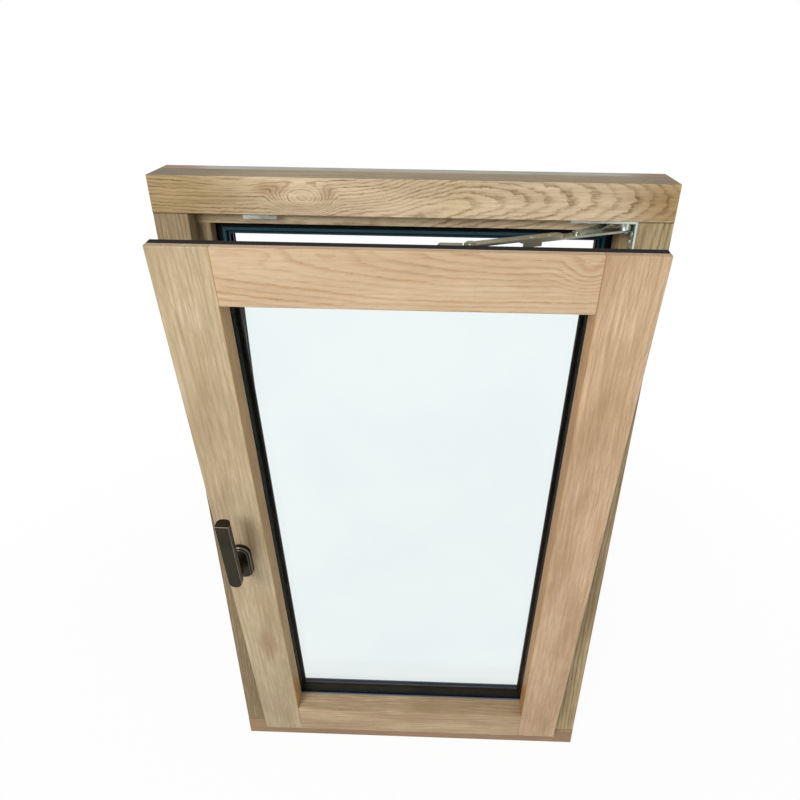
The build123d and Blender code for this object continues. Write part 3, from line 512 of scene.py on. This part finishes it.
# %% Rubber
def rubber(name, painted_sheen="1A191A", deep="100F10", lighter="1A191A", striped=False):
    """Dull black rubber in two blacks, with a painted sheen on the faces that are turned up to the light."""
    seal = Finish(name)
    point = seal.place()
    grain = seal.noise(point, (1400.0, 1400.0, 1400.0), detail=2.0)
    bloom = seal.noise(point, (30.0, 30.0, 30.0), detail=3.0)
    colour = seal.mix(seal.span(bloom, 0.4, 0.8), paint(deep), paint(lighter))
    # Painted sheen: faces that look up take a lighter colour, a painted highlight.
    colour = seal.mix(seal.span(seal.upward(), 0.5, 0.95), colour, paint(painted_sheen))
    if striped:
        colour = lip_highlight_lines(seal, colour, point)
    seal.feed(seal.shader.inputs["Base Color"], colour)
    seal.feed(seal.shader.inputs["Roughness"], seal.span(grain, 0.2, 0.8, 0.6, 0.8))
    seal.set(Specular_IOR_Level=0.1)
    seal.bump(grain, 0.00004, 0.4)
    return seal.material


wear_finish(rubber("black_rubber_seal"), "sash_lip_seal", "glass_setting_blocks")
wear_finish(rubber("frame_rubber", striped=True), "frame_seal")
# The glazing seals' painted sheen is a pale blue-grey highlight.
glazing_rubber = rubber("glazing_rubber", "58697C", "020D10", "051417")
wear_finish(glazing_rubber, "glazing_seal_inner", "glazing_seal_outer")
print("rubbers: 3")

# %% [markdown]
# ## Glass
# Float glass is clear with a faint green cast that is strongest through its edge. The double unit is two
# solid panes, so the cast comes from both. The shader bends and reflects light less than real glass does,
# which keeps the panes as quiet as they are in the photograph. The bar that holds the panes apart is
# nearly black, with a fine texture from one small noise.

# %% Panes and spacer
def float_glass(name):
    """Clear glass with a faint, slightly uneven green cast."""
    glass = Finish(name)
    film = glass.noise(glass.place(), (6.0, 6.0, 6.0), detail=3.0)
    colour = glass.mix(glass.span(film, 0.3, 0.7), paint("F5FAFA"), paint("F7FBFB"))
    glass.feed(glass.shader.inputs["Base Color"], colour)
    glass.set(Transmission_Weight=1.0, IOR=1.2, Roughness=0.0, Specular_IOR_Level=0.3)
    return glass.material


def spacer_bar(name):
    """Nearly black, finely textured surface of the bar between the panes."""
    bar = Finish(name)
    point = bar.place()
    weave = bar.noise(point, (500.0, 500.0, 500.0), detail=2.0)
    bar.feed(bar.shader.inputs["Base Color"], bar.mix(weave, paint("010E12"), paint("041519")))
    bar.feed(bar.shader.inputs["Roughness"], bar.span(weave, 0.2, 0.8, 0.5, 0.7))
    bar.set(Specular_IOR_Level=0.1)
    bar.bump(weave, 0.00003, 0.3)
    return bar.material


wear_finish(float_glass("clear_float_glass"), "glass_inner", "glass_outer")
wear_finish(spacer_bar("spacer_metal"), "glass_spacer")
print("panes: 2")

# %% [markdown]
# ## Zinc-plated steel
# The stay, the bearings and the strikers are pressed steel with a grey zinc plating. It has a soft
# metallic sheen with cloudy patches where the plating took unevenly, and small rubbed scratches. One
# noise sets the patches in colour and in roughness together, because a dull patch is also rougher, and the
# scratches are a second noise, drawn out from left to right. The arms and the slider are darker in the
# photograph than the plates, as they lie in shade, so the same finish is made in three tones, and the
# two darker ones are painted shade.

# %% Zinc
def zinc(name, bright, dull):
    """Cloudy zinc plating between a bright and a dull tone, with rubbed scratches."""
    metal = Finish(name)
    point = metal.place()
    cloud = metal.noise(point, (60.0, 60.0, 60.0), detail=4.0, rough=0.6)
    rub = metal.noise(point, (120.0, 1600.0, 900.0), detail=3.0, rough=0.7)
    colour = metal.mix(metal.span(cloud, 0.3, 0.7), bright, dull)
    colour = metal.mix(metal.span(rub, 0.62, 0.75, 0.0, 0.3), colour, paint("6E6A60"))
    metal.feed(metal.shader.inputs["Base Color"], colour)
    metal.feed(metal.shader.inputs["Roughness"], metal.span(cloud, 0.25, 0.75, 0.28, 0.46))
    metal.set(Metallic=1.0)
    metal.bump(rub, 0.00003, 0.4)
    return metal.material


zinc_plate = zinc("zinc_plate", paint("DFE8E1"), paint("C4CFC7"))
# The darker tones of the arms and the slider are painted shade.
shaded_zinc_arm = zinc("shaded_zinc_arm", paint("A3A395"), paint("86867A"))
wear_finish(zinc_plate, "corner_bearing", "top_striker", "jamb_strikers", "tilt_keeper",
            "locking_faceplate", "stay_guide", "lower_bearing_frame", "lower_bearing_sash",
            "locking_cams", "bearing_pin", "gearbox", "handle_spindle")
wear_finish(shaded_zinc_arm, "stay_arm", "stay_link", "stay_extension", "slider_rivet")
wear_finish(zinc("shaded_zinc_slider", paint("8C897C"), paint("716E62")), "stay_slider")
print("zinc tones: 3")

# %% [markdown]
# ## Dark bronze handle
# The handle is cast metal with a dark bronze finish, a satin sheen, a fine cast texture and slightly
# lighter patches. Its front edges carry a painted highlight, paler where their small roundings would catch
# the light. Those edges could be picked face by face, but they are found here by where they look: partly
# forward and partly to a side.

# %% Bronze
def bronze(name, lighter):
    """Dark bronze, and how strong the painted highlight on its front edges is."""
    metal = Finish(name)
    point = metal.place()
    cast = metal.noise(point, (800.0, 800.0, 800.0), detail=3.0)
    patch = metal.noise(point, (50.0, 50.0, 50.0), detail=3.0)
    colour = metal.mix(metal.span(patch, 0.3, 0.7), paint("2B240F"), paint("211B0A"))
    facing_out = metal.parts(metal.node("ShaderNodeTexCoord").outputs["Normal"])[1]
    forward = metal.math("MULTIPLY", facing_out, -1.0)
    not_side = metal.span(forward, 0.35, 0.55)
    not_front = metal.span(forward, 0.88, 0.96, 1.0, 0.0)
    edge_highlight = metal.math("MULTIPLY", not_side, not_front)
    # Painted highlight on the front edges.
    colour = metal.mix(metal.math("MULTIPLY", edge_highlight, lighter), colour, paint("9A9280"))
    metal.feed(metal.shader.inputs["Base Color"], colour)
    metal.feed(metal.shader.inputs["Roughness"], metal.span(cast, 0.2, 0.8, 0.36, 0.48))
    metal.set(Metallic=0.5, Specular_IOR_Level=0.3)
    metal.bump(cast, 0.00004, 0.35)
    return metal.material


wear_finish(bronze("dark_bronze", 0.7), "handle_lever")
wear_finish(bronze("rosette_bronze", 0.35), "handle_rosette")
print("bronzes: 2")

# %% [markdown]
# ## Screws and rivets
# A screw's head is low and round, with a cross recess pressed into it. A single plain cylinder would look
# like a peg, so the head is built as rings of points about its own axis, the inner rings following the
# recess. Every screw of one fitting is stamped into one mesh.

# %% One screw head as rings
SCREW_RIMS = ((1.0, 0.0), (1.0, 0.28), (0.9, 0.62), (0.7, 0.9), (0.62, 0.97))
RECESS_RINGS = ((0.97, 1.0), (0.1, 0.86))
RECESS_SHARE = 0.58
RECESS_WAIST = 0.62
SCREW_STEPS = 48


def round_rings(rims, radius, height, steps):
    """Rings of points, each rim given as a share of the radius and of the height."""
    angles = [2 * pi * i / steps for i in range(steps)]
    return [[(radius * r * cos(a), radius * r * sin(a), height * h) for a in angles] for r, h in rims]


def recess_radius(angle, size):
    """Outline of a cross recess: four arms with round waists."""
    return size * (1 - RECESS_WAIST * (0.5 - 0.5 * cos(4 * angle)))


def screw_rings(radius, height):
    """Rings of points from the rim of a head in to the floor of its recess."""
    rings = round_rings(SCREW_RIMS, radius, height, SCREW_STEPS)
    for level, scale in RECESS_RINGS:
        ring = []
        for a in (2 * pi * i / SCREW_STEPS for i in range(SCREW_STEPS)):
            r = recess_radius(a, radius * RECESS_SHARE * scale)
            ring.append((r * cos(a), r * sin(a), height * level))
        rings.append(ring)
    return rings


plate_screw = screw_rings(radius=3.2 * MM, height=1.0 * MM)
sunk_screw = screw_rings(radius=2.9 * MM, height=0.3 * MM)
print("rings in a screw:", len(plate_screw))

# %% Stamp one form at several places
SMOOTH_UP_TO = radians(38)


def stamp(name, rings, places, material, body="window"):
    """Build the same ringed form at several places in one mesh, and let it ride on its body."""
    shape = bmesh.new()
    for place in places:
        rows = [[shape.verts.new(place @ Vector(p)) for p in ring] for ring in rings]
        for outer, inner in zip(rows, rows[1:]):
            for i in range(len(outer)):
                j = (i + 1) % len(outer)
                shape.faces.new((outer[i], outer[j], inner[j], inner[i]))
        shape.faces.new(list(reversed(rows[0])))
        shape.faces.new(rows[-1])
    bmesh.ops.recalc_face_normals(shape, faces=shape.faces)
    mesh = bpy.data.meshes.new(name)
    shape.to_mesh(mesh)
    shape.free()
    mesh.materials.append(material)
    for face in mesh.polygons:
        face.use_smooth = True
    mesh.set_sharp_from_angle(angle=SMOOTH_UP_TO)
    piece = bpy.data.objects.new(name, mesh)
    bpy.context.scene.collection.objects.link(piece)
    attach(piece, body)
    print(name, "places:", len(places), "faces:", len(mesh.polygons))
    return piece


print("faces meeting at less than", round(SMOOTH_UP_TO, 2), "radians are smooth")

# %% Seat a fastener on the solid that it holds
def facing(origin, normal, across=RIGHT):
    """Matrix that stands a form up along a normal."""
    z = normal.normalized()
    x = (across - z * across.dot(z)).normalized()
    turn = Matrix((x, z.cross(x), z)).transposed()
    return Matrix.Translation(origin) @ turn.to_4x4()


def seat(node_name, start, direction, across=RIGHT):
    """Matrix of a fastener where a line from the start first meets the node, or None."""
    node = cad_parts[node_name]
    back = node.matrix_world.inverted()
    found, spot, normal, _ = node.ray_cast(back @ start, (back.to_3x3() @ direction).normalized())
    if not found:
        print("no seat on", node_name, [round(v, 3) for v in start])
        return None
    normal = (node.matrix_world.to_3x3() @ normal).normalized()
    return facing(node.matrix_world @ spot, normal, across)


def seat_all(node_name, starts, direction, across=RIGHT):
    """Matrices of all the fasteners that find a seat."""
    found = [seat(node_name, start, direction, across) for start in starts]
    return [place for place in found if place]


bpy.context.view_layer.update()
print("seats are found by a line cast from the air beside each fitting")

# %% Where the frame's screws go
HARDWARE_DEPTH = 14.0
OPENING_X = 259.5
OPENING_LOW = 38.0
OPENING_HIGH = 958.0
REACH = 40.0
SCREW_OFFSETS = (-12.0, 12.0)
TOP_STRIKER_X = -177.5
TILT_KEEPER_X = -205.0
JAMB_STRIKER_HEIGHTS = (167.0, 827.0)
BEARING_SIDE_SCREWS = ((-2.5, 16), (3, 26))
BEARING_TOP_SCREWS = (54.0, 70.0)
BEARING_TOP_DEPTH = 5.0
BEARING_DROP = 8.0
FOOT_HEIGHTS = (66.0, 84.0)
FOOT_PLACES = (206.0, 222.0)


def under_head(x):
    """Start of a line up to the underside of the head."""
    return frame_place(x, HARDWARE_DEPTH, OPENING_HIGH - REACH)


def over_sill(x):
    """Start of a line down to the sill."""
    return frame_place(x, HARDWARE_DEPTH, OPENING_LOW + REACH)


def beside_left(height):
    """Start of a line to the left jamb."""
    return frame_place(-OPENING_X + REACH, HARDWARE_DEPTH, height)


def beside_right(height, shift=0.0):
    """Start of a line to the right jamb."""
    return frame_place(OPENING_X - REACH, HARDWARE_DEPTH + shift, height)


bearing_side = [beside_right(OPENING_HIGH - drop, shift) for shift, drop in BEARING_SIDE_SCREWS]
bearing_top = [frame_place(OPENING_X - x, BEARING_TOP_DEPTH, OPENING_HIGH - BEARING_DROP)
               for x in BEARING_TOP_SCREWS]
striker_heights = [height + offset for height in JAMB_STRIKER_HEIGHTS for offset in SCREW_OFFSETS]
frame_screws = {
    "corner_bearing": ((bearing_side, RIGHT, OUT), (bearing_top, UP, RIGHT)),
    "top_striker": (([under_head(TOP_STRIKER_X + offset) for offset in SCREW_OFFSETS], UP, RIGHT),),
    "jamb_strikers": (([beside_left(height) for height in striker_heights], -RIGHT, OUT),),
    "tilt_keeper": (([over_sill(TILT_KEEPER_X + offset) for offset in SCREW_OFFSETS], -UP, RIGHT),),
    "lower_bearing_frame": (([beside_right(height) for height in FOOT_HEIGHTS], RIGHT, OUT),
                            ([over_sill(x) for x in FOOT_PLACES], -UP, RIGHT)),
}
print("fittings with screws on the frame:", len(frame_screws))

# %% Screws of the frame's hardware
screw_names = {
    "corner_bearing": "corner_bearing_screws",
    "top_striker": "top_striker_screws",
    "jamb_strikers": "jamb_striker_screws",
    "tilt_keeper": "tilt_keeper_screws",
    "lower_bearing_frame": "lower_bearing_screws",
}
for node_name, groups in frame_screws.items():
    places = []
    for starts, direction, across in groups:
        places += seat_all(node_name, starts, direction, across)
    rings = plate_screw if node_name == "corner_bearing" else sunk_screw
    stamp(screw_names[node_name], rings, places, zinc_plate)

# %% Screws of the sash's hardware
FACEPLATE_HEIGHTS = (84, 120, 210, 300, 390, 600, 690, 780, 870, 906)
GUIDE_PLACES = (-212, -120, -30, 120, 214)
beside_faceplate = [sash_place(-OPENING_X - REACH, HARDWARE_DEPTH, z) for z in FACEPLATE_HEIGHTS]
over_guide = [sash_place(x, HARDWARE_DEPTH, OPENING_HIGH + REACH) for x in GUIDE_PLACES]
stamp("faceplate_screws", sunk_screw,
      seat_all("locking_faceplate", beside_faceplate, RIGHT, SASH_OUT), zinc_plate)
stamp("guide_screws", sunk_screw, seat_all("stay_guide", over_guide, -SASH_UP), zinc_plate)

# %% [markdown]
# The arms of the stay are riveted where they cross. A rivet's head is a flat button with a soft edge, so
# it is stamped from rings as well, without a recess.

# %% Rivets of the stay
RIVET_RIMS = ((1.0, 0.0), (1.0, 0.4), (0.9, 0.75), (0.7, 0.95), (0.35, 1.0), (0.12, 0.96))
RIVET_STEPS = 40
EXTENSION_RIVETS = (112, 136)
LINK_RIVETS = (72,)
ARM_END = Vector((248.9, -18.5, 0)) * MM
SLIDER_END = Vector((65.1, -128.2, 0)) * MM
stay_run = (SLIDER_END - ARM_END).normalized()


def over_stay(distance):
    """A place above the stay, so many millimetres from the corner bearing's pin."""
    return ARM_END + stay_run * distance * MM + UP


rivet = round_rings(RIVET_RIMS, radius=3.6 * MM, height=0.8 * MM, steps=RIVET_STEPS)
rivet_places = seat_all("stay_extension", [over_stay(distance) for distance in EXTENSION_RIVETS], -UP)
rivet_places += seat_all("stay_link", [over_stay(distance) for distance in LINK_RIVETS], -UP)
stamp("stay_rivets", rivet, rivet_places, shaded_zinc_arm)

# %% [markdown]
# ## Camera
# The camera stands where the photograph was taken from: a little right of the middle, above the window's
# top, looking down by about thirty degrees. Its place and lens were solved from the corners of the frame
# and the sash, and the small shift is the photograph's own crop.

# %% Camera
PITCH = radians(30.361)
YAW = radians(-1.3216)
ROLL = radians(-0.8104)
STANDPOINT = (0.03499, -0.80676, 1.14078)
PHOTO_WIDTH = 800
FOCAL_PIXELS = 662.38
CENTRE_X_PIXEL = 423.53
CENTRE_Y_PIXEL = 421.67
SENSOR_WIDTH = 36.0
look = Vector((sin(YAW) * cos(PITCH), cos(YAW) * cos(PITCH), -sin(PITCH)))
level_right = Vector((cos(YAW), -sin(YAW), 0))
level_down = look.cross(level_right)
camera_right = cos(ROLL) * level_right + sin(ROLL) * level_down
camera_down = -sin(ROLL) * level_right + cos(ROLL) * level_down

lens = bpy.data.cameras.new("camera")
lens.sensor_fit = "HORIZONTAL"
lens.sensor_width = SENSOR_WIDTH
lens.lens = FOCAL_PIXELS / PHOTO_WIDTH * SENSOR_WIDTH
lens.shift_x = -(CENTRE_X_PIXEL - PHOTO_WIDTH / 2) / PHOTO_WIDTH
lens.shift_y = (CENTRE_Y_PIXEL - PHOTO_WIDTH / 2) / PHOTO_WIDTH
lens.clip_start = 0.01
camera = bpy.data.objects.new("camera", lens)
bpy.context.scene.collection.objects.link(camera)
turn = Matrix((camera_right, -camera_down, -look)).transposed()
camera.matrix_world = Matrix.Translation(STANDPOINT) @ turn.to_4x4()
bpy.context.scene.camera = camera
print("camera at", [round(v, 3) for v in camera.location], "lens", round(lens.lens, 2))

# %% [markdown]
# ## Light, floor and backdrop
# The photograph is even studio light with the object cut out on white. A pale world lights everything
# softly, a large lamp from the upper left gives the faces their direction, and a weaker one from the
# right fills. The white behind comes from the world's and the floor's colour as the camera sees them,
# not from more light.

# %% World
scene = bpy.context.scene
world = bpy.data.worlds.new("studio")
scene.world = world
world.use_nodes = True
world_nodes, world_links = world.node_tree.nodes, world.node_tree.links
world_back = world_nodes["Background"]
world_back.inputs["Color"].default_value = (1.0, 1.0, 1.0, 1.0)


def seen_directly(nodes, links):
    """1 for rays from the camera, off metal or through glass, and 0 for light itself."""
    path = nodes.new("ShaderNodeLightPath")
    first = nodes.new("ShaderNodeMath")
    first.operation = "MAXIMUM"
    links.new(path.outputs["Is Camera Ray"], first.inputs[0])
    links.new(path.outputs["Is Glossy Ray"], first.inputs[1])
    second = nodes.new("ShaderNodeMath")
    second.operation = "MAXIMUM"
    links.new(first.outputs[0], second.inputs[0])
    links.new(path.outputs["Is Transmission Ray"], second.inputs[1])
    return second.outputs[0]


WORLD_LIGHT = 0.42
strength = world_nodes.new("ShaderNodeMapRange")
world_links.new(seen_directly(world_nodes, world_links), strength.inputs["Value"])
strength.inputs["To Min"].default_value = WORLD_LIGHT
strength.inputs["To Max"].default_value = 1.0
world_links.new(strength.outputs[0], world_back.inputs["Strength"])
print("world light:", WORLD_LIGHT)

# %% Lamps
def lamp(name, place, target, size, power):
    """A round lamp that looks at a target, hidden from rays that pass through glass."""
    data = bpy.data.lights.new(name, "AREA")
    data.shape = "DISK"
    data.size = size
    data.energy = power
    made = bpy.data.objects.new(name, data)
    made.location = place
    made.rotation_euler = (Vector(target) - Vector(place)).to_track_quat("-Z", "Y").to_euler()
    made.visible_transmission = False
    scene.collection.objects.link(made)
    return made


key = lamp("key", place=(-0.85, -1.75, 1.75), target=(0, 0, 0.6), size=0.9, power=33)
fill = lamp("fill", place=(1.9, -1.5, 1.5), target=(0, 0, 0.5), size=1.6, power=11)
print("lamp power:", key.data.energy, fill.data.energy)

# %% Floor
FLOOR_HALF = 6.0
GLOW_FROM = 0.4
GLOW_TO = 1.6
GLOW_NEAR = 0.95
floor_mesh = bpy.data.meshes.new("floor")
corners = [(-FLOOR_HALF, -FLOOR_HALF, 0), (FLOOR_HALF, -FLOOR_HALF, 0), (FLOOR_HALF, FLOOR_HALF, 0),
           (-FLOOR_HALF, FLOOR_HALF, 0)]
floor_mesh.from_pydata(corners, [], [(0, 1, 2, 3)])
floor = bpy.data.objects.new("floor", floor_mesh)
scene.collection.objects.link(floor)

pale = bpy.data.materials.new("pale_floor")
pale.use_nodes = True
floor_nodes, floor_links = pale.node_tree.nodes, pale.node_tree.links
floor_shader = floor_nodes["Principled BSDF"]
floor_shader.inputs["Base Color"].default_value = (0.9, 0.9, 0.9, 1.0)
floor_shader.inputs["Roughness"].default_value = 0.9
glow = floor_nodes.new("ShaderNodeEmission")
blend = floor_nodes.new("ShaderNodeMixShader")
share = floor_nodes.new("ShaderNodeMath")
share.operation = "MULTIPLY"
floor_links.new(seen_directly(floor_nodes, floor_links), share.inputs[0])
far = floor_nodes.new("ShaderNodeMapRange")
far.interpolation_type = "SMOOTHSTEP"
reach = floor_nodes.new("ShaderNodeVectorMath")
reach.operation = "LENGTH"
floor_links.new(floor_nodes.new("ShaderNodeTexCoord").outputs["Object"], reach.inputs[0])
floor_links.new(reach.outputs["Value"], far.inputs["Value"])
for socket, number in zip(list(far.inputs)[1:], (GLOW_FROM, GLOW_TO, GLOW_NEAR, 1.0)):
    socket.default_value = number
floor_links.new(far.outputs[0], share.inputs[1])
floor_links.new(share.outputs[0], blend.inputs["Fac"])
floor_links.new(floor_shader.outputs[0], blend.inputs[1])
floor_links.new(glow.outputs[0], blend.inputs[2])
floor_links.new(blend.outputs[0], floor_nodes["Material Output"].inputs["Surface"])
floor_mesh.materials.append(pale)
print("floor reaches", FLOOR_HALF, "metres each way")

# %% [markdown]
# ## Last settings
# The picture keeps Blender's plain colour view, so a colour shows about as it is written.

# %% View
scene.view_settings.view_transform = "Standard"
